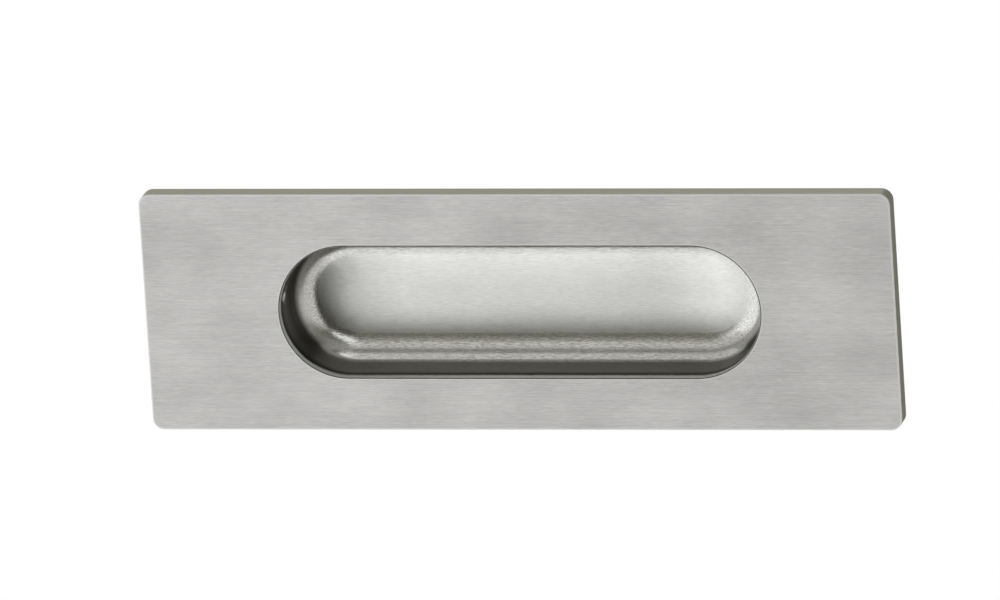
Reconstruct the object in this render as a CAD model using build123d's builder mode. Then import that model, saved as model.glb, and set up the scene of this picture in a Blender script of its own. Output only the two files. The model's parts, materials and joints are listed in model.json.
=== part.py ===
from build123d import *
import os
from math import cos, radians, sin

# Recessed pull handle for a sliding door, in millimetres: a stainless face plate with a long round-ended
# opening, and a deep-drawn stainless cup whose flange is welded into a rebate behind the opening.
#
# Frame: the plate stands upright. X runs along it, +Z is up and -Y is the side that the user sees. The
# origin is the middle of the plate's back face, so y = 0 is the surface of the door.

# ---- Driving dimensions ----

# face plate
plate_length = 150.0
plate_height = 48.0
plate_thickness = 4.0
plate_corner_radius = 2.3
edge_break = 0.15  # sharp edges of the front, just broken by the grinding belt

# opening in the plate
opening_length = 96.0
opening_height = 26.6
lip_thickness = 1.2  # metal left in front of the rebate
rebate_clearance = 0.1  # all round the flange of the cup

# cup, drawn from one sheet
sheet_thickness = 1.0
cup_depth = 13.6  # from the front of the plate to the inside of the floor
wall_draft = 1.0  # degrees by which the walls lean in towards the floor
floor_radius = 5.2  # inside radius between wall and floor
mouth_radius = 1.2  # radius at which the sheet turns out into the flange
flange_width = 3.5  # flat width of the flange outside the wall

# fixing holes, one drilled through each end wall, leaning back into the door
hole_diameter = 1.8
hole_depth = 3.5  # from the front of the plate to the hole's middle on the inside of the wall
hole_rise = 9.5  # degrees round the end of the opening, above its long centre line
hole_lean = 35.0  # degrees towards the back, from square to the wall

# ---- Sizes that follow ----

flange_front = plate_thickness - lip_thickness  # how far the flange's front face lies before the door
cup_length = opening_length + 2 * sheet_thickness
cup_height = opening_height + 2 * sheet_thickness
flange_length = cup_length + 2 * flange_width
flange_height = cup_height + 2 * flange_width
hollow_depth = cup_depth - lip_thickness  # inside depth of the cup, from the front of its own flange
heel_radius = max(mouth_radius - sheet_thickness, 0.1)  # back of the mouth bend, where wall meets flange
end_radius = opening_height / 2
end_centre = opening_length / 2 - end_radius  # the round ends' centre, from the middle of the opening
front = Plane.XZ.offset(plate_thickness)  # looks at the user
flange_plane = Plane.XZ.offset(flange_front)


# ---- Face plate ----

with BuildPart() as face_plate:
    with BuildSketch(Plane.XZ):
        RectangleRounded(plate_length, plate_height, plate_corner_radius)
    extrude(amount=plate_thickness)

    # the opening, right through
    with BuildSketch(front):
        SlotOverall(opening_length, opening_height)
    extrude(amount=-plate_thickness, mode=Mode.SUBTRACT)

    # the rebate behind it, which the cup's flange sits in
    with BuildSketch(Plane.XZ):
        SlotOverall(flange_length + 2 * rebate_clearance, flange_height + 2 * rebate_clearance)
    extrude(amount=flange_front, mode=Mode.SUBTRACT)

    # both outlines of the front face: the plate's own edge and the edge of the opening
    fillet(face_plate.faces().sort_by(Axis.Y)[0].edges(), radius=edge_break)

face_plate.part.label = "face_plate"


# ---- Recess cup ----

with BuildPart() as recess_cup:
    # drawn body: the outside form, hollowed out to the thickness of the sheet
    with BuildSketch(flange_plane):
        SlotOverall(cup_length, cup_height)
    extrude(amount=-(hollow_depth + sheet_thickness), taper=wall_draft)
    fillet(recess_cup.edges().group_by(Axis.Y)[-1], radius=floor_radius + sheet_thickness)
    offset(amount=-sheet_thickness, openings=recess_cup.faces().sort_by(Axis.Y)[0])

    # flange, turned out from the mouth
    with BuildSketch(flange_plane):
        SlotOverall(flange_length, flange_height)
        SlotOverall(cup_length - sheet_thickness, cup_height - sheet_thickness, mode=Mode.SUBTRACT)
    extrude(amount=-sheet_thickness)

    # the bend between wall and flange, rounded on the front and on the back of the sheet
    flange_faces = recess_cup.faces().filter_by(Axis.Y).sort_by(Axis.Y)[:2]
    fillet(flange_faces[1].inner_wires()[0].edges(), radius=heel_radius)
    fillet(flange_faces[0].inner_wires()[0].edges(), radius=mouth_radius)

    # one fixing hole through each end wall
    for end in (-1, 1):
        rise = radians(hole_rise)
        lean = radians(hole_lean)
        outward = Vector(end * cos(rise), 0, sin(rise))
        wall_point = Vector(end * end_centre, hole_depth - plate_thickness, 0) + outward * end_radius
        drill = outward * cos(lean) + Vector(0, sin(lean), 0)
        with BuildSketch(Plane(origin=wall_point, z_dir=drill)):
            Circle(hole_diameter / 2)
        extrude(amount=2 * sheet_thickness, both=True, mode=Mode.SUBTRACT)

recess_cup.part.label = "recess_cup"


# ---- Export ----

os.makedirs("parts", exist_ok=True)
export_step(face_plate.part, "parts/face_plate.step")
export_step(recess_cup.part, "parts/recess_cup.step")
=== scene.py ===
"""Looks of a recessed pull handle in brushed stainless steel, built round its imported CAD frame.

X runs along the handle, +Z is up, -Y is the side that the user sees, and y = 0 is the surface of the door.
Every size is in metres.
"""

import json
from math import cos, pi, radians, sin, tan

import bmesh
import bpy
import numpy as np
from bpy.props import FloatProperty, FloatVectorProperty, PointerProperty
from mathutils import Matrix, Vector


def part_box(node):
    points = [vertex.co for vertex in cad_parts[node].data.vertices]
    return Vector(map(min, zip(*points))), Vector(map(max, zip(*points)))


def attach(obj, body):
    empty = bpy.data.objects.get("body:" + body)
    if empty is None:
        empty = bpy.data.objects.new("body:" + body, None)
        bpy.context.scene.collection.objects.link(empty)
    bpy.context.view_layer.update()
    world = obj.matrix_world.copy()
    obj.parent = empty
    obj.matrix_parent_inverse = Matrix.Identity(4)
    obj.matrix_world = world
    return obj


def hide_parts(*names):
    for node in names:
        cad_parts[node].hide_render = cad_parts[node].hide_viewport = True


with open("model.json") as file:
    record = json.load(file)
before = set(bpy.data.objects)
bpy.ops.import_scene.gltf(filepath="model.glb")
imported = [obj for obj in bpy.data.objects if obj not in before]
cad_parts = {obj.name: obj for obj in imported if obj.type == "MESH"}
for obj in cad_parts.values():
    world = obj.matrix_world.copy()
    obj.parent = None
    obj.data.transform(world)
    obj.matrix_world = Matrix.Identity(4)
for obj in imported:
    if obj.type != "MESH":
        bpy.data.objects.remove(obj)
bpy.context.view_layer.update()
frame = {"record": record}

bl_info = {
    "name": "Recessed Pull Handle",
    "version": (1, 0, 0),
    "blender": (4, 5, 0),
    "location": "View3D > Sidebar > Pull Handle",
    "description": "Builds the face plate, the drawn cup and the studio of a recessed pull handle",
    "category": "Add Mesh",
}

MM = 0.001
WELD_DISTANCE = 0.0005 * MM  # points closer than this become one
SHARP_ANGLE = radians(35)  # edges that turn by more than this are shaded as sharp
NOISE_RANGE = (0.36, 0.64)  # where most of a noise's values lie
BLACK = (0.0, 0.0, 0.0)
# painted highlight up to this value of the rim mask, painted shade line on the opening's edge above it
BRIGHT_EDGE = 0.6  # the rim mask on a bright edge; above this it turns into the opening's dark line

plate_low, plate_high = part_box("face_plate")
cup_low, cup_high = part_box("recess_cup")
mounts = {mount["name"]: mount for mount in frame["record"]["mounts"]}


# ---- Sizes, finish and stage, which the sidebar shows ----


def length(name, description, default):
    """A length in metres, as a property that the sidebar shows."""
    return FloatProperty(
        name=name,
        description=description,
        default=default,
        min=0.0,
        precision=5,
        subtype="DISTANCE",
        unit="LENGTH",
    )


def angle(name, description, degrees):
    """An angle, as a property that the sidebar shows in degrees."""
    return FloatProperty(name=name, description=description, default=radians(degrees), subtype="ANGLE")


def colour(name, description, default):
    """A colour in linear red, green and blue, as a property that the sidebar shows."""
    return FloatVectorProperty(
        name=name,
        description=description,
        default=default,
        min=0.0,
        max=1.0,
        subtype="COLOR",
    )


def number(name, description, default):
    """A plain number above zero, as a property that the sidebar shows."""
    return FloatProperty(name=name, description=description, default=default, min=0.0)


class PullHandleSizes(bpy.types.PropertyGroup):
    """The sizes of the plate and the cup."""

    # face plate
    plate_length: length("Plate length", "Length of the face plate", plate_high.x - plate_low.x)
    plate_height: length("Plate height", "Height of the face plate", plate_high.z - plate_low.z)
    plate_thickness: length("Plate thickness", "Thickness of the face plate", plate_high.y - plate_low.y)
    corner_radius: length("Corner radius", "Radius of the plate's four corners", 2.3 * MM)
    edge_break: length("Edge break", "Radius left on the front edges by the grinding belt", 0.15 * MM)
    # painted highlight: a band this wide beside each front edge is painted brighter, fading out
    highlight_band: length("Halo", "Width of the band beside an edge that the belt leaves brighter", 0.3 * MM)
    opening_length: length("Opening length", "Length of the round-ended opening", 96.0 * MM)
    opening_height: length("Opening height", "Height of the opening, twice its end radius", 26.6 * MM)
    opening_round: length("Opening round", "Radius of the polished edge of the opening", 0.25 * MM)
    lip: length("Lip", "Metal of the plate in front of the cup's flange", 1.2 * MM)
    rebate_clearance: length("Rebate clearance", "Gap all round the cup's flange", 0.1 * MM)

    # cup
    sheet: length("Sheet", "Thickness of the sheet that the cup is drawn from", 1.0 * MM)
    draft: angle("Draft", "How far the cup's walls lean in towards its floor", 1.0)
    mouth_radius: length("Mouth radius", "Radius at which the wall turns out into the flange", 1.2 * MM)
    floor_radius: length("Floor radius", "Outside radius between the cup's wall and its floor", 6.2 * MM)
    dish: angle("Dish", "Slope of the floor where it meets the corner's rise", 8.0)
    dish_width: length("Dish width", "How far in from the rise the floor is dished", 7.4 * MM)
    bow: length("Bow", "How much the floor rises towards the two round ends", 0.4 * MM)
    bow_length: length("Bow length", "Over what length the floor rises at each end", 20.0 * MM)
    rise_slope: angle("Rise slope", "Steepest slope of the rise from the floor", 45.0)
    rise_radius: length("Rise radius", "Radius of the rise from the floor", 5.9 * MM)
    ridge_slope: angle("Ridge slope", "Slope at the foot of the tight corner", 27.0)
    ridge_radius: length("Ridge radius", "Radius between the rise and the tight corner", 4.4 * MM)
    corner_turn: length("Corner turn", "Radius of the tight corner at the wall's foot", 1.3 * MM)
    end_radius: length("End radius", "Radius of the plain corner at the two round ends", 5.7 * MM)


class PullHandleFinish(bpy.types.PropertyGroup):
    """The colours and the grain of the steel, and its painted highlights and painted shade."""

    grain: length("Grain", "Width of one line of the brushing", 0.13 * MM)
    grain_stretch: number("Grain stretch", "How much longer than wide the lines are", 16.0)
    plate_colour: colour("Plate colour", "Steel of the face plate", (0.82, 0.815, 0.805))
    side_colour: colour("Side colour", "Sides of the plate", (0.66, 0.65, 0.59))
    # painted highlight: this colour is painted on the plate's edges, on its lip and on the edges of the cup's
    # holes
    highlight_colour: colour("Bright rim", "Steel where the belt or the drill leaves it bright", (0.95, 0.95, 0.93))
    # painted shade: the dark line painted on the opening's rounded edge where it turns to the face
    edge_shade_colour: colour("Dark rim", "Edge of the opening, close to the face", (0.10, 0.098, 0.088))
    cup_colour: colour("Cup colour", "Steel of the drawn cup", (0.74, 0.74, 0.72))
    # painted shade on the walls of the recess: dark near the mouth, fading lighter towards the foot, darker
    # still at the round ends
    wall_shade_colour: colour("Wall colour", "Drawn skin of the long walls near the mouth", (0.32, 0.315, 0.29))
    shade_fade_colour: colour("Foot colour", "Foot of the long walls, where the skin is thin", (0.80, 0.79, 0.75))
    end_shade_colour: colour("End wall colour", "Drawn skin at the round ends", (0.11, 0.108, 0.10))
    # painted shadow: the mouth's bend under the plate's lip is painted nearly black, fading out farther in
    mouth_shadow_colour: colour("Mouth colour", "Drawn skin on the mouth's bend", (0.02, 0.02, 0.02))
    mouth_shadow_depth: length("Mouth depth", "How far behind the flange the mouth is darkest", 1.4 * MM)
    mouth_shadow_fade: length("Mouth fade", "How much farther in the dark mouth fades", 1.6 * MM)


class PullHandleStage(bpy.types.PropertyGroup):
    """The floor and the camera."""

    floor_drop: length("Floor drop", "How far the floor lies below the handle", 4.0)
    floor_size: length("Floor size", "Side of the square floor", 60.0)
    floor_glow: number("Floor glow", "What the camera and the steel see on top of the lit floor", 0.21)
    camera_distance: length("Camera distance", "From the camera to the plate", 4.5)
    camera_azimuth: angle("Camera azimuth", "How far to the right of the handle the camera stands", 13)
    camera_elevation: angle("Camera elevation", "How far above the handle the camera stands", 16)
    camera_aim: FloatVectorProperty(
        name="Camera aim",
        description="The point that the camera looks at",
        default=(-3.7 * MM, plate_low.y, 2.5 * MM),
        subtype="TRANSLATION",
        unit="LENGTH",
    )
    lens: number("Lens", "Focal length in millimetres", 830.0)


# ---- Meshes ----


def outline(half_length, half_height, radius, angles):
    """Where rays from the centre meet a rounded rectangle, as x and z.

    A ray at each angle stops on the upright side if it meets that below the corner's arc, on the long side
    if it meets that before the arc, and otherwise on the arc, from the quadratic for a line and a circle. A
    radius equal to half_height gives a round-ended slot.
    """
    c, s = np.abs(np.cos(angles)), np.abs(np.sin(angles))
    upright = half_length / np.maximum(c, 1e-12)
    level = half_height / np.maximum(s, 1e-12)
    centre_x, centre_z = half_length - radius, half_height - radius
    along = c * centre_x + s * centre_z
    past = np.maximum(along**2 - centre_x**2 - centre_z**2 + radius**2, 0.0)
    curved = np.where(level * c <= centre_x, level, along + np.sqrt(past))
    reach = np.where(upright * s <= centre_z, upright, curved)
    return reach * np.cos(angles), reach * np.sin(angles)


def smooth_step(value, low, high):
    """Rises smoothly from 0 at low to 1 at high."""
    share = np.clip((value - low) / (high - low), 0, 1)
    return share * share * (3 - 2 * share)


def quads(index):
    """The faces of a grid of vertex numbers: each joins two neighbours in a row to two in the next row."""
    corners = (index[:-1, :-1], index[1:, :-1], index[1:, 1:], index[:-1, 1:])
    return np.stack(corners, axis=-1).reshape(-1, 4)


def closed(index, axis):
    """The same grid of vertex numbers with its first row or column repeated at the end."""
    return np.concatenate([index, np.take(index, [0], axis=axis)], axis=axis)


def new_piece(name, points, faces, stands_for, slot_name, **attributes):
    """Puts points and faces into a mesh, welds its poles and hands it to the frame as one of its pieces."""
    mesh = bpy.data.meshes.new(name)
    mesh.from_pydata(points.tolist(), [], faces.tolist())
    for attribute, values in attributes.items():
        mesh.attributes.new(attribute, "FLOAT", "POINT").data.foreach_set("value", values.astype(np.float32))
    shell = bmesh.new()
    shell.from_mesh(mesh)
    bmesh.ops.remove_doubles(shell, verts=shell.verts, dist=WELD_DISTANCE)
    shell.to_mesh(mesh)
    shell.free()
    mesh.polygons.foreach_set("use_smooth", np.ones(len(mesh.polygons), bool))
    mesh.set_sharp_from_angle(angle=SHARP_ANGLE)
    piece = bpy.data.objects.new(name, mesh)
    bpy.context.scene.collection.objects.link(piece)
    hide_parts(stands_for)
    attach(piece, "root")
    return piece


def plate_mesh(size):
    """Points and faces of the face plate, one closed surface, and its two masks.

    Each station is a rounded rectangle at its own depth, drawn at the same angles round the centre: the
    rebate, the lip, the rounded edge of the opening, the front face, its broken outer edge and the side. The
    last station joins the first. The masks are rim, which is high along the edges where a highlight is
    painted and highest on the opening's rounded edge where a shade line is painted, and side, which goes
    from -1 on the lip through 0 on the face to 1 on the sides and the back.
    """
    half_length, half_height = size.plate_length / 2, size.plate_height / 2
    end_radius = size.opening_height / 2
    end_centre = size.opening_length / 2 - end_radius
    lip_back, edge, inner = size.lip - size.plate_thickness, size.edge_break, size.opening_round
    face = -size.plate_thickness
    rebate = size.sheet + flange_width(size) + size.rebate_clearance

    # one quarter of the angles has every point of the slot's arc and of the corner's arc, and some between
    arc_points, corner_points, level_points = 41, 13, 20
    turn = np.linspace(0, pi / 2, arc_points)
    arc = np.arctan2(end_radius * np.sin(turn), end_centre + end_radius * np.cos(turn))
    radius = size.corner_radius
    corner_x, corner_z = half_length - radius, half_height - radius
    turn = np.linspace(0, pi / 2, corner_points)
    corner = np.arctan2(corner_z + radius * np.sin(turn), corner_x + radius * np.cos(turn))
    level = np.arctan2(half_height, np.linspace(corner_x, 0, level_points))
    quarter = np.unique(np.round(np.concatenate([arc, corner, level]), 7))
    angles = np.concatenate([quarter, pi - quarter[-2::-1], pi + quarter[1:], 2 * pi - quarter[-2:0:-1]])

    def slot(grow, depth, rim, side):
        """Stations round the opening, wider than it by some growth."""
        grow, depth, rim, side = np.broadcast_arrays(grow, depth, rim, side)
        radius = end_radius + grow
        return np.stack([end_centre + radius, radius, radius, depth, rim, side], axis=-1).reshape(-1, 6)

    def rectangle(shrink, depth, rim, side):
        """Stations along the plate's outline, smaller than it by some shrinkage."""
        shrink, depth, rim, side = np.broadcast_arrays(shrink, depth, rim, side)
        columns = (half_length - shrink, half_height - shrink, size.corner_radius - shrink, depth, rim, side)
        return np.stack(columns, axis=-1).reshape(-1, 6)

    turn = np.linspace(0, pi / 2, 6)  # a quarter turn over each of the two front edges
    out, back = 1 - np.cos(turn), 1 - np.sin(turn)
    # painted shade: the opening's rounded edge is painted dark towards the face, through the rim mask
    shade_on_edge = smooth_step(turn, 0.3, 0.8)  # the opening's edge is dark where it has turned to the face
    support = 0.4 * edge  # rings this close to an edge keep the shading of the flat faces flat
    stations = np.concatenate([
        slot(rebate, np.array([0.0, lip_back]), 0, 1),
        slot(0.0, np.array([lip_back, support + inner + face]), 0, -1),
        slot(inner * out, inner * back + face, shade_on_edge, shade_on_edge - 1),
        # painted highlight on the face beside the opening's edge, fading out across the band
        slot(inner + support, face, BRIGHT_EDGE, 0),
        slot(inner + size.highlight_band, face, 0, 0),
        # painted highlight on the broken outer edge, fading out across the band inside it
        rectangle(edge + size.highlight_band, face, 0, 0),
        rectangle(edge + support, face, BRIGHT_EDGE, 0),
        rectangle(edge * back, edge * out + face, BRIGHT_EDGE, out),
        rectangle(0.0, np.array([edge + support + face, 0.0]), 0, 1),
    ])
    x, z = outline(stations[:, 0:1], stations[:, 1:2], stations[:, 2:3], angles[None, :])
    y, rim, side = (np.broadcast_to(stations[:, n : n + 1], x.shape) for n in (3, 4, 5))
    points = np.stack([x, y, z], axis=-1)
    index = np.arange(x.size).reshape(x.shape)
    faces = quads(closed(closed(index, 0), 1))
    return points.reshape(-1, 3), faces, rim.reshape(-1), side.reshape(-1)


def flange_width(size):
    """Flat width of the cup's flange outside its wall, from the cup's own box."""
    return (cup_high.z - cup_low.z) / 2 - size.opening_height / 2 - size.sheet


class CupSurface:
    """The cup as a surface of two parameters: a profile carried round the spine of a round-ended slot.

    The spine is the straight line between the centres of the two round ends. A column is a place on the
    spine and the way that it faces, and a row is a point of the profile: its distance from the spine and its
    depth. A point of the surface is the spine's point plus the profile's distance along the column's
    direction, at the profile's depth. The long sides and the round ends have a profile each, and the columns
    pass smoothly from one to the other. Near the round ends the floor rises by the bow.
    """

    arc_steps = 90  # columns round each end
    straight_steps = 24  # columns along each long side
    side_fade = (0.72, 0.95)  # sine of the facing at which the sides' profile begins, and is all there is
    # painted shade on the walls: how upright the metal stands where it begins and where it is whole
    end_shade_span = (0.76, 0.93)  # how upright the metal stands where the drawn skin begins, and is whole
    side_shade_span = (0.88, 0.995)  # the same on the long sides
    ring_gap = 0.08 * MM  # from a bend to the ring that keeps the flat beside it flat
    least_heel = 0.1 * MM  # smallest outside radius between the wall and the flange
    dish_steps, floor_steps, wall_steps, flat_steps = 8, 3, 14, 4
    mouth_steps, heel_steps, back_steps = 12, 4, 24

    def __init__(self, size):
        self.end_centre = size.opening_length / 2 - size.opening_height / 2
        turn = np.linspace(-pi / 2, pi / 2, self.arc_steps + 1)
        between = np.linspace(1, -1, self.straight_steps + 1)[1:-1] * self.end_centre
        flat = np.ones(len(between))
        self.facing = np.concatenate([turn, pi / 2 * flat, turn + pi, 1.5 * pi * flat])
        right, left = np.full(len(turn), self.end_centre), np.full(len(turn), -self.end_centre)
        self.spine = np.concatenate([right, between, left, -between])
        self.side_share = smooth_step(np.abs(np.sin(self.facing)), *self.side_fade)
        wall = pi / 2 - size.draft
        # both corners have 40 steps in all, so that the two profiles match row by row
        plain = ((size.dish, wall, size.end_radius, 40),)
        rolled = (
            (size.dish, size.rise_slope, size.rise_radius, 20),
            (size.rise_slope, size.ridge_slope, size.ridge_radius, 8),
            (size.ridge_slope, wall, size.corner_turn, 12),
        )
        self.bow, self.bow_end = size.bow, size.opening_length / 2
        self.bow_start = self.bow_end - size.bow_length
        self.bow_top, self.bow_foot = (cup_low.y + cup_high.y) / 2, cup_high.y - size.sheet
        self.reach, self.depth = self.profile(size, plain)
        self.side_reach, self.side_depth = self.profile(size, rolled)
        self.rows, self.columns = len(self.reach), len(self.spine)

    def profile(self, size, corner):
        """The closed profile: inside floor, corner, wall, mouth bend and flange, then the same on the back.

        The corner is a row of arcs, each with its first and last slope, its radius and its number of steps.
        """
        lean = size.draft
        flange_front = cup_low.y
        flange_back = flange_front + size.sheet
        floor_back = cup_high.y
        floor_front = floor_back - size.sheet
        rim = (cup_high.z - cup_low.z) / 2
        outside = size.opening_height / 2 + size.sheet  # the wall's outer face at the flange's front
        inside = outside - size.sheet / cos(lean)
        heel = max(size.mouth_radius - size.sheet, self.least_heel)

        def bend(wall, level, radius, side, steps):
            """An arc that touches the leaning wall and a flat level, from the wall to the level."""
            turn = np.linspace(lean, pi / 2, steps + 1)
            depth = level - side * radius
            centre = wall - (depth - flange_front) * tan(lean) - side * radius / cos(lean)
            across, along = side * radius * np.cos(turn), side * radius * np.sin(turn)
            return np.stack([centre + across, depth + along], axis=-1)

        def roll(level):
            """The inside of the bottom corner: its arcs in a row, from the wall down to the dished floor."""
            points = [np.zeros((1, 2))]
            for start, end, radius, steps in corner:
                slope = np.linspace(start, end, steps + 1)[1:]
                arc = np.stack([np.sin(slope) - sin(start), np.cos(slope) - cos(start)], axis=-1)
                points.append(points[-1][-1] + arc * radius * np.sign(end - start))
            points = np.concatenate(points)
            foot = level + points[-1, 1]
            out = inside - (foot - flange_front) * tan(lean) - points[-1, 0]
            return (points + (out, level))[::-1]

        def dish(start, level):
            """The floor in from the corner: its slope fades as the square of the distance to the flat."""
            out = np.linspace(0, 1, self.dish_steps + 1)[1:, None]
            depth = start[1] + (level - start[1]) * (1 - (1 - out) ** 3)
            return np.concatenate([start[0] - size.dish_width * out, depth], axis=1)

        def between(start, end, steps):
            """Points on the straight line between two points of the profile, without its ends."""
            return start + np.linspace(0, 1, steps + 1)[1:-1, None] * (end - start)

        def flat(start, end, steps):
            """The same for a flat, with a ring close to its first end that keeps the flat's shading flat."""
            near = start + (end - start) * self.ring_gap / np.linalg.norm(end - start)
            return np.concatenate([[near], between(near, end, steps)])

        sag = tan(size.dish) * size.dish_width / 3  # depth of the dish, as its slope fades by the square
        floor_bend = roll(floor_front - sag)
        floor_dish = dish(floor_bend[-1], floor_front)
        mouth_bend = bend(inside, flange_front, size.mouth_radius, -1, self.mouth_steps)
        heel_bend = bend(outside, flange_back, heel, -1, self.heel_steps)
        back_bend = bend(outside, floor_back - sag, size.floor_radius, 1, self.back_steps)
        back_dish = dish(back_bend[-1], floor_back)
        rim_front, rim_back = np.array([rim, flange_front]), np.array([rim, flange_back])
        middle_front, middle_back = np.array([0.0, floor_front]), np.array([0.0, floor_back])
        rows = [
            [middle_front],
            between(floor_dish[-1], middle_front, self.floor_steps)[::-1],
            floor_dish[::-1],
            floor_bend[::-1],
            between(floor_bend[0], mouth_bend[0], self.wall_steps),
            mouth_bend,
            flat(mouth_bend[-1], rim_front, self.flat_steps),
            [rim_front, rim_back],
            flat(heel_bend[-1], rim_back, self.flat_steps)[::-1],
            heel_bend[::-1],
            between(heel_bend[0], back_bend[0], self.wall_steps),
            back_bend,
            back_dish,
            between(back_dish[-1], middle_back, self.floor_steps),
            [middle_back],
        ]
        counts = np.cumsum([len(row) for row in rows])
        self.inside_rows = (int(counts[3]) - 1, int(counts[5]) - 1)  # wall's foot to flange, in front
        self.outside_rows = (int(counts[9]) - 1, int(counts[10]))  # heel to the back bend, behind
        return np.concatenate(rows).T

    def masks(self):
        """How upright each vertex stands, how much painted shade of the walls it has, and 1 on the long
        sides.
        """
        reach, depth, side = self.reach[:, None], self.depth[:, None], self.side_share
        reach = reach + side * (self.side_reach[:, None] - reach)
        depth = depth + side * (self.side_depth[:, None] - depth)
        rise, run = np.gradient(depth, axis=0), np.gradient(reach, axis=0)
        upright = np.abs(rise) / np.maximum(np.hypot(rise, run), 1e-9)
        low, high = (end + (long - end) * side for end, long in zip(self.end_shade_span, self.side_shade_span))
        return upright, smooth_step(upright, low, high), np.broadcast_to(side, upright.shape)

    def points(self, row, column):
        """Points of the surface at any rows and columns, whole or between."""
        spine = np.interp(column, np.arange(self.columns), self.spine)
        facing = np.interp(column, np.arange(self.columns), self.facing)
        side = np.interp(column, np.arange(self.columns), self.side_share)
        lines = (self.reach, self.depth, self.side_reach, self.side_depth)
        reach, depth, side_reach, side_depth = (np.interp(row, np.arange(self.rows), line) for line in lines)
        reach = reach + side * (side_reach - reach)
        depth = depth + side * (side_depth - depth)
        x, z = spine + reach * np.cos(facing), reach * np.sin(facing)
        along = smooth_step(np.abs(x), self.bow_start, self.bow_end)
        rise = along * smooth_step(depth, self.bow_top, self.bow_foot)
        return np.stack([x, depth - self.bow * rise, z], axis=-1)


def cup_mesh(size, holes):
    """Points, faces and masks of the cup, one closed surface with its fixing holes worked into both walls.

    The whole surface is a grid of rows and columns. Round each hole a rectangle of the grid is left out on
    both faces of the wall and filled by rings, which pass evenly from the rectangle's border to the hole's
    edge, and the two edges are joined by the wall of the hole. The masks are those of the grid, and a mask
    which is 1 on the edges of the holes, where a highlight is painted.
    """
    cup = CupSurface(size)
    row, column = np.meshgrid(np.arange(cup.rows), np.arange(cup.columns), indexing="ij")
    index = np.arange(row.size).reshape(row.shape)
    points = [cup.points(row, column).reshape(-1, 3)]
    kept = np.ones((cup.rows - 1, cup.columns), bool)
    faces, hole_edges = [], []
    count = row.size

    for hole in holes:
        front, back = HolePatch(cup, hole, True), HolePatch(cup, hole, False)
        edges = []
        for patch in (front, back):
            kept[patch.row_start : patch.row_end, patch.column_start : patch.column_end] = False
            rings = patch.rings(front.turn)
            numbers = count + np.arange(rings.shape[0] * rings.shape[1]).reshape(rings.shape[:2])
            count += numbers.size
            points.append(rings.reshape(-1, 3))
            border = index[patch.border_rows, patch.border_columns]
            filled = quads(closed(np.concatenate([numbers, border[None, :]]), 1))
            faces.append(filled[:, ::-1] if patch is front else filled)
            edges.append(numbers[0])
        faces.append(quads(closed(np.stack(edges), 1)))
        hole_edges.extend(edges)

    grid = closed(index, 1)
    faces.append(quads(grid)[kept.reshape(-1)])
    points = np.concatenate(points)
    beyond = np.ones(len(points) - row.size)  # the rings round the holes stand in the wall
    upright, shade_on_wall, flank = (np.concatenate([mask.reshape(-1), beyond]) for mask in cup.masks())
    # painted highlight: 1 on the edges of the holes
    hole_glint = np.zeros(len(points))
    hole_glint[np.concatenate(hole_edges)] = 1.0
    return points, np.concatenate(faces), {"upright": upright, "shade_on_wall": shade_on_wall, "flank": flank, "hole_glint": hole_glint}


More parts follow.
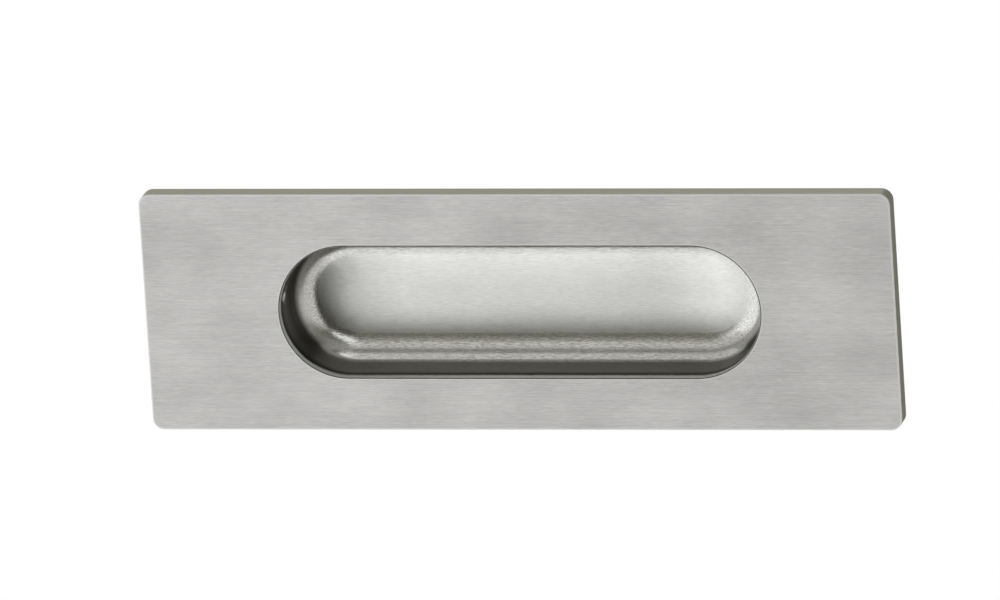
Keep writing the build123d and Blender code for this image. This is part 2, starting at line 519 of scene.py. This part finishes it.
class HolePatch:
    """The rectangle of the cup's grid round one hole, on one face of the wall."""

    half_columns = 4
    half_rows = 4
    ring_steps = 5
    newton_steps = 8

    def __init__(self, cup, hole, inside):
        self.cup = cup
        self.radius = hole["dims"]["r_mm"] * MM
        self.drill = -Vector(hole["axis"]).normalized()
        self.middle = Vector(hole["pos_m"])
        self.end = np.sign(self.middle.x)
        low, high = cup.inside_rows if inside else cup.outside_rows
        rows = np.arange(low, high + 1)
        order = np.argsort(cup.depth[rows])
        self.by_depth = rows[order]
        centre = self.slide(np.array([[0.0, 0.0, 0.0]]))
        row, column = (int(round(place[0])) for place in self.place(centre))
        self.row_start, self.row_end = row - self.half_rows, row + self.half_rows
        self.column_start, self.column_end = column - self.half_columns, column + self.half_columns
        self.centre = centre[0]
        self.border(inside)

    def slide(self, offset):
        """Slides points along the drill until they stand on the wall, by Newton's steps on their gap."""
        drill = np.array(self.drill)
        points = np.array(self.middle) + offset
        for _ in range(self.newton_steps):
            x, z = points[:, 0] - self.end * self.cup.end_centre, points[:, 2]
            reach = np.hypot(x, z)
            wall = np.interp(points[:, 1], self.cup.depth[self.by_depth], self.cup.reach[self.by_depth])
            rate = (x * drill[0] + z * drill[2]) / reach
            points = points + ((wall - reach) / rate)[:, None] * drill
        return points

    def place(self, points):
        """The row and column, with fractions, of points on this face of the wall."""
        x, z = points[:, 0] - self.end * self.cup.end_centre, points[:, 2]
        facing = np.arctan2(z, x)
        facing = np.where(self.end < 0, np.mod(facing, 2 * pi), facing)
        step = pi / self.cup.arc_steps
        start = 0 if self.end > 0 else self.cup.arc_steps + self.cup.straight_steps
        column = start + (facing - (pi / 2 if self.end < 0 else -pi / 2)) / step
        row = np.interp(points[:, 1], self.cup.depth[self.by_depth], self.by_depth)
        return row, column

    def border(self, inside):
        """The rectangle's grid points in order round it, and the angle of each seen from the hole's middle.

        Both faces of the wall start at their deep side, so that the two borders run the same way round.
        """
        deep, shallow, step = self.row_start, self.row_end, 1
        if not inside:
            deep, shallow, step = shallow, deep, -1
        across = np.arange(self.column_start, self.column_end)
        down = np.arange(deep, shallow, step)
        deep_row, shallow_row = np.full(len(across), deep), np.full(len(across), shallow)
        low_column, high_column = np.full(len(down), self.column_start), np.full(len(down), self.column_end)
        self.border_rows = np.concatenate([deep_row, down, shallow_row, (down + step)[::-1]])
        self.border_columns = np.concatenate([across, high_column, (across + 1)[::-1], low_column])
        points = self.cup.points(self.border_rows, self.border_columns) - self.centre
        level, back = self.axes()
        self.turn = np.arctan2(points @ back, points @ level)

    def axes(self):
        """Two directions across the drill: one level, round the end, and the other towards the back."""
        level = Vector((0, 1, 0)).cross(self.drill).normalized()
        back = self.drill.cross(level).normalized()
        back = back if back.y > 0 else -back
        return np.array(level), np.array(back)

    def rings(self, turn):
        """Rings of points from the hole's edge, at these angles, out to the border, evenly spaced between."""
        level, back = self.axes()
        offset = self.radius * (np.cos(turn)[:, None] * level + np.sin(turn)[:, None] * back)
        edge_row, edge_column = self.place(self.slide(offset))
        out = np.arange(self.ring_steps)[:, None] / self.ring_steps
        row = edge_row + out * (self.border_rows - edge_row)
        column = edge_column + out * (self.border_columns - edge_column)
        return self.cup.points(row, column)


# ---- Materials ----


class Socket:
    """An output of a node in a material, on which sums are written as they are on numbers."""

    def __init__(self, material, output):
        self.material = material
        self.output = output

    def maths(self, operation, *inputs):
        """Adds one Math node."""
        return self.material.node("ShaderNodeMath", {"operation": operation}, dict(enumerate(inputs)))

    def __add__(self, other):
        return self.maths("ADD", self, other)

    def __sub__(self, other):
        return self.maths("SUBTRACT", self, other)

    def __rsub__(self, other):
        return self.maths("SUBTRACT", other, self)

    def __mul__(self, other):
        return self.maths("MULTIPLY", self, other)

    __radd__ = __add__
    __rmul__ = __mul__


class Material:
    """A node material, empty but for its output. Its colours have three channels and are opaque."""

    mix_sockets = {"factor": 0, "first": 6, "second": 7, "result": 2}  # places of a Mix node's colour sockets

    def __init__(self, name):
        self.data = bpy.data.materials.new(name)
        self.data.use_nodes = True
        self.tree = self.data.node_tree
        self.tree.nodes.clear()
        self.place = self.node("ShaderNodeTexCoord", {}, {}, "Object")

    def node(self, kind, settings, inputs, output=0):
        """Adds one node, with its settings first and then the values or links of its inputs."""
        node = self.tree.nodes.new(kind)
        for name, value in settings.items():
            setattr(node, name, value)
        for name, value in inputs.items():
            if isinstance(value, Socket):
                self.tree.links.new(value.output, node.inputs[name])
            else:
                node.inputs[name].default_value = value
        return Socket(self, node.outputs[output]) if node.outputs else node

    def streaks(self, width, stretch, detail=2.0, distortion=0.0):
        """Noise drawn out along X, from 0 to 1: lines this wide, and stretch times as long."""
        place = self.node("ShaderNodeMapping", {}, {"Vector": self.place, "Scale": (1 / stretch, 1.0, 1.0)})
        inputs = {"Vector": place, "Scale": 1 / width, "Detail": detail, "Distortion": distortion}
        return self.node("ShaderNodeTexNoise", {}, inputs, "Fac")

    def attribute(self, name):
        """A number that the mesh stores at each vertex."""
        return self.node("ShaderNodeAttribute", {"attribute_name": name}, {}, "Fac")

    def ramp(self, value, low, high, to_low=0.0, to_high=1.0):
        """Carries value from the range low to high into another range, and holds it there."""
        inputs = {"Value": value, "From Min": low, "From Max": high, "To Min": to_low, "To Max": to_high}
        return self.node("ShaderNodeMapRange", {"clamp": True}, inputs)

    def bump(self, height, distance):
        """A normal tilted by a height from 0 to 1 that stands for this distance."""
        return self.node("ShaderNodeBump", {}, {"Distance": distance, "Height": height}, "Normal")

    def mix(self, factor, first, second):
        """A colour between two colours, each one a socket or a plain colour."""
        colours = (colour if isinstance(colour, Socket) else (*colour, 1.0) for colour in (first, second))
        names = self.mix_sockets
        inputs = dict(zip((names["factor"], names["first"], names["second"]), (factor, *colours)))
        return self.node("ShaderNodeMix", {"data_type": "RGBA"}, inputs, names["result"])

    def shaded(self, factor, colour, low, high):
        """A colour that goes from low to high times its own brightness."""
        dark, bright = ([share * channel for channel in colour] for share in (low, high))
        return self.mix(factor, dark, bright)

    def dimmed(self, share, colour):
        """A share of a colour's brightness."""
        return self.mix(share, BLACK, colour)

    def surface(self, shader):
        """Puts a shader on the output, and gives the finished material."""
        self.node("ShaderNodeOutputMaterial", {}, {"Surface": shader})
        return self.data


def plate_steel(finish):
    """Stainless steel brushed along X.

    It has a painted highlight along its edges and on the lip round the opening, which is also rougher, and
    it is smoother and darker on its sides. A painted shade line follows the opening's edge.
    """
    steel = Material("plate_steel")
    fine = steel.streaks(finish.grain, finish.grain_stretch)
    long = steel.streaks(1.5 * finish.grain, 3 * finish.grain_stretch)
    cloud = steel.streaks(90 * finish.grain, 1.6)
    grain = steel.ramp(fine * 0.4 + long * 0.25 + cloud * 0.35, *NOISE_RANGE)
    rim, side = steel.attribute("rim"), steel.attribute("side")
    outer, lip = steel.ramp(side, 0.0, 1.0), steel.ramp(side, 0.0, -1.0)
    tone = steel.shaded(grain, finish.plate_colour, 0.76, 1.10)
    # painted highlight along the edges, the sides' own colour, a painted highlight on the lip, and a painted
    # shade line along the opening's edge
    tone = steel.mix(steel.ramp(rim, 0.0, BRIGHT_EDGE), tone, finish.highlight_colour)
    tone = steel.mix(outer, tone, finish.side_colour)
    tone = steel.mix(lip, tone, finish.highlight_colour)
    tone = steel.mix(steel.ramp(rim, BRIGHT_EDGE, 1.0), tone, finish.edge_shade_colour)
    inputs = {
        "Base Color": tone,
        "Metallic": 1.0,
        "Roughness": steel.ramp(long, 0.3, 0.7, 0.42, 0.50) - outer * 0.15 + lip * 0.2,
        "Anisotropic": 0.3,
        "Anisotropic Rotation": 0.25,
        "Normal": steel.bump(fine, 0.006 * MM),
    }
    return steel.surface(steel.node("ShaderNodeBsdfPrincipled", {}, inputs))


def cup_steel(finish):
    """Stainless steel, deep-drawn.

    Its floor is brushed along X, the rolled corner is pitted and has a painted highlight, the walls have
    painted shade, darker towards the mouth, with a nearly black painted shadow on the bend of the mouth, and
    the edges of the holes have a painted highlight.
    """
    steel = Material("cup_steel")
    fine = steel.streaks(finish.grain, finish.grain_stretch)
    pitted = steel.streaks(1.1 * finish.grain, 8.0, 2.0, 0.3)
    cloud = steel.streaks(60 * finish.grain, 2.0)
    upright, shade_on_wall = steel.attribute("upright"), steel.attribute("shade_on_wall")
    flank, hole_glint = steel.attribute("flank"), steel.attribute("hole_glint")
    into = steel.node("ShaderNodeSeparateXYZ", {}, {"Vector": steel.place}, "Y")
    noise = fine * 0.45 + pitted * 0.3 + cloud * 0.25
    grain = steel.ramp(noise, *NOISE_RANGE)

    corner = steel.ramp(upright, 0.08, 0.32)
    brushed = steel.shaded(grain, finish.cup_colour, 0.84, 1.08)
    # painted highlight: the rising corner is painted up to a quarter brighter than the brushed floor
    corner_highlight = steel.shaded(grain, finish.cup_colour, 1.0, 1.26)
    pits = steel.ramp(pitted, 0.35, 0.6, 0.26, 0.0)
    drawn = steel.dimmed(1 - corner * pits, steel.mix(corner, brushed, corner_highlight))

    # painted shade on the walls: darker towards the mouth and darker still at the round ends, over the grain
    wall_foot = cup_high.y - 2 * MM
    deep = steel.ramp(into, cup_low.y, wall_foot)
    wall = steel.mix(deep * deep, finish.wall_shade_colour, finish.shade_fade_colour)
    wall = steel.mix(flank, finish.end_shade_colour, wall)
    wall = steel.dimmed(steel.ramp(noise, *NOISE_RANGE, 0.7, 1.0), wall)
    # painted shadow, nearly black, on the mouth's bend under the plate's lip
    mouth_start = cup_low.y + finish.mouth_shadow_depth
    mouth = steel.ramp(into, mouth_start + finish.mouth_shadow_fade, mouth_start)
    wall = steel.mix(mouth, wall, finish.mouth_shadow_colour)

    rough = steel.ramp(upright, 0.08, 0.35, 0.30, 0.18) + steel.ramp(upright, 0.5, 0.85, 0.0, 0.22)
    inputs = {
        # painted highlight on the edges of the holes, over the painted shade of the walls
        "Base Color": steel.mix(hole_glint, steel.mix(shade_on_wall, drawn, wall), finish.highlight_colour),
        "Metallic": 1.0,
        "Roughness": rough + hole_glint * 0.4,
        "Normal": steel.bump(fine * 0.3 + pitted * (corner * 0.8 + 0.2), 0.014 * MM),
    }
    return steel.surface(steel.node("ShaderNodeBsdfPrincipled", {}, inputs))


# ---- Stage ----


# name, azimuth and elevation in degrees as seen from the handle, distance, width and height in metres, and
# tone from 0 to 1
CARDS = (
    ("front_low_card", 4.1, -16.8, 3.52, 2.0, 1.59, 0.02),
    ("front_high_card", 7.5, 7.1, 3.68, 1.92, 1.80, 0.04),
    ("front_left_card", -17.5, 7.1, 3.68, 1.37, 1.80, 0.16),
    ("front_middle_card", -13.0, 27.0, 3.6, 1.2, 0.9, 0.30),
    ("upper_right_card", 46.1, 43.1, 3.52, 3.584, 3.04, 0.13),
    ("right_card", 56.1, -17.9, 3.28, 5.12, 5.12, 0.60),
    ("upper_left_card", -51.9, 39.1, 3.52, 5.12, 2.56, 0.55),
    ("top_card", 0, 85, 2.56, 6.4, 2.88, 0.5),
    ("back_upper_card", -157, 22, 2.56, 2.6, 2.9, 0.38),
    ("back_lower_card", 157, 0, 2.56, 2.6, 3.8, 0.19),
)
# the same, with a strength in place of the tone
LAMPS = (
    ("left_lamp", -14.8, -20.9, 4.16, 0.62, 1.44, 1.8),
)
SQUARE = ((-1, -1), (1, -1), (1, 1), (-1, 1))  # the signs of a face's four corners, in order


def towards(azimuth, elevation):
    """The direction at an azimuth to the right of the front and an elevation above the level, in radians."""
    return Vector((sin(azimuth) * cos(elevation), -cos(azimuth) * cos(elevation), sin(elevation)))


def make_panel(context, name, corners, material):
    """One flat face with a material."""
    mesh = bpy.data.meshes.new(name)
    mesh.from_pydata(corners, [], [(0, 1, 2, 3)])
    mesh.materials.append(material)
    panel = bpy.data.objects.new(name, mesh)
    context.scene.collection.objects.link(panel)
    return panel


def make_card(context, name, azimuth, elevation, distance, width, height, tone):
    """A plain card that the steel mirrors and the camera doesn't see, square to the handle's middle.

    Darker cards are a little warmer.
    """
    back = towards(radians(azimuth), radians(elevation))
    right = Vector((0, 0, 1)).cross(back).normalized()
    up = back.cross(right)
    corners = [back * distance + right * x * width / 2 + up * z * height / 2 for x, z in SQUARE]
    material = Material(name)
    warm = (tone, 0.98 * tone, (0.76 + 0.3 * tone) * tone, 1.0)
    shader = material.node("ShaderNodeEmission", {}, {"Color": warm})
    card = make_panel(context, name, corners, material.surface(shader))
    card.visible_camera = False


def make_lamp(context, name, azimuth, elevation, distance, width, height, strength):
    """A soft rectangular lamp that faces the handle and looks as bright as its strength, where 1 is white."""
    back = towards(radians(azimuth), radians(elevation))
    light = bpy.data.lights.new(name, "AREA")
    light.shape = "RECTANGLE"
    light.size, light.size_y = width, height
    light.energy = strength * pi * width * height
    lamp = bpy.data.objects.new(name, light)
    lamp.rotation_mode = "QUATERNION"
    lamp.location = back * distance
    lamp.rotation_quaternion = back.to_track_quat("Z", "Y")
    lamp.visible_camera = False
    context.scene.collection.objects.link(lamp)


def make_floor(context, stage):
    """A white floor that the camera and the steel see a little brighter than its own light makes it."""
    half = stage.floor_size / 2
    corners = [(x * half, y * half, -stage.floor_drop) for x, y in SQUARE]
    material = Material("floor")
    kinds = ("Is Camera Ray", "Is Glossy Ray", "Is Transmission Ray")
    camera, glossy, through = (material.node("ShaderNodeLightPath", {}, {}, kind) for kind in kinds)
    inputs = {
        "Base Color": (0.8, 0.8, 0.8, 1.0),
        "Roughness": 1.0,
        "Emission Color": material.mix(camera + glossy + through, BLACK, [stage.floor_glow] * 3),
        "Emission Strength": 1.0,
    }
    shader = material.node("ShaderNodeBsdfPrincipled", {}, inputs)
    floor = make_panel(context, "floor", corners, material.surface(shader))


def make_world(context):
    """An even white surround."""
    world = bpy.data.worlds.new("surround")
    world.use_nodes = True
    world.node_tree.nodes["Background"].inputs["Color"].default_value = (1, 1, 1, 1)
    context.scene.world = world


def make_camera(context, stage):
    """Aims the camera at the plate from the upper right, turned so that the plate's long edges lie level."""
    back = towards(stage.camera_azimuth, stage.camera_elevation)
    up = back.cross(Vector((1, 0, 0))).normalized()
    right = up.cross(back)
    camera = bpy.data.objects.new("camera", bpy.data.cameras.new("camera"))
    camera.data.sensor_width = 36.0
    camera.data.lens = stage.lens
    turned = Matrix((right, up, back)).transposed().to_4x4()
    place = Vector(stage.camera_aim) + back * stage.camera_distance
    camera.matrix_world = Matrix.Translation(place) @ turned
    context.scene.collection.objects.link(camera)
    context.scene.camera = camera


# ---- Operators and sidebar ----


class PULLHANDLE_OT_face_plate(bpy.types.Operator):
    """Build the face plate"""

    bl_idname = "pull_handle.face_plate"
    bl_label = "Face Plate"
    bl_options = {"REGISTER", "UNDO"}

    def execute(self, context):
        size, finish = context.scene.pull_handle_sizes, context.scene.pull_handle_finish
        points, faces, rim, side = plate_mesh(size)
        piece = new_piece("plate", points, faces, "face_plate", "plate_steel", rim=rim, side=side)
        piece.data.materials.append(plate_steel(finish))
        return {"FINISHED"}


class PULLHANDLE_OT_recess_cup(bpy.types.Operator):
    """Build the drawn cup behind the plate, with its two fixing holes"""

    bl_idname = "pull_handle.recess_cup"
    bl_label = "Recess Cup"
    bl_options = {"REGISTER", "UNDO"}

    def execute(self, context):
        size, finish = context.scene.pull_handle_sizes, context.scene.pull_handle_finish
        holes = [mounts["fixing_hole_left"], mounts["fixing_hole_right"]]
        points, faces, masks = cup_mesh(size, holes)
        piece = new_piece("cup", points, faces, "recess_cup", "cup_steel", **masks)
        piece.data.materials.append(cup_steel(finish))
        return {"FINISHED"}


class PULLHANDLE_OT_stage(bpy.types.Operator):
    """Set the floor, the light and the camera"""

    bl_idname = "pull_handle.stage"
    bl_label = "Stage"
    bl_options = {"REGISTER", "UNDO"}

    def execute(self, context):
        stage = context.scene.pull_handle_stage
        make_world(context)
        make_floor(context, stage)
        for card in CARDS:
            make_card(context, *card)
        for lamp in LAMPS:
            make_lamp(context, *lamp)
        make_camera(context, stage)
        context.scene.view_settings.view_transform = "Standard"
        return {"FINISHED"}


class PULLHANDLE_PT_sidebar(bpy.types.Panel):
    """Buttons that build the handle, and the values they build it from"""

    bl_idname = "PULLHANDLE_PT_sidebar"
    bl_label = "Pull Handle"
    bl_space_type = "VIEW_3D"
    bl_region_type = "UI"
    bl_category = "Pull Handle"

    def draw(self, context):
        for name in GROUPS:
            group = getattr(context.scene, name)
            box = self.layout.box()
            for value in group.__annotations__:
                box.prop(group, value)
        for operator in OPERATORS:
            self.layout.operator(operator.bl_idname)


GROUPS = {
    "pull_handle_sizes": PullHandleSizes,
    "pull_handle_finish": PullHandleFinish,
    "pull_handle_stage": PullHandleStage,
}
OPERATORS = (PULLHANDLE_OT_face_plate, PULLHANDLE_OT_recess_cup, PULLHANDLE_OT_stage)
CLASSES = (*GROUPS.values(), *OPERATORS, PULLHANDLE_PT_sidebar)


def register():
    for kind in CLASSES:
        bpy.utils.register_class(kind)
    for name, group in GROUPS.items():
        setattr(bpy.types.Scene, name, PointerProperty(type=group))


def unregister():
    for name in GROUPS:
        delattr(bpy.types.Scene, name)
    for kind in reversed(CLASSES):
        bpy.utils.unregister_class(kind)


def main():
    """Builds the handle and its stage."""
    register()
    bpy.ops.pull_handle.face_plate()
    bpy.ops.pull_handle.recess_cup()
    bpy.ops.pull_handle.stage()


if __name__ == "__main__":
    main()
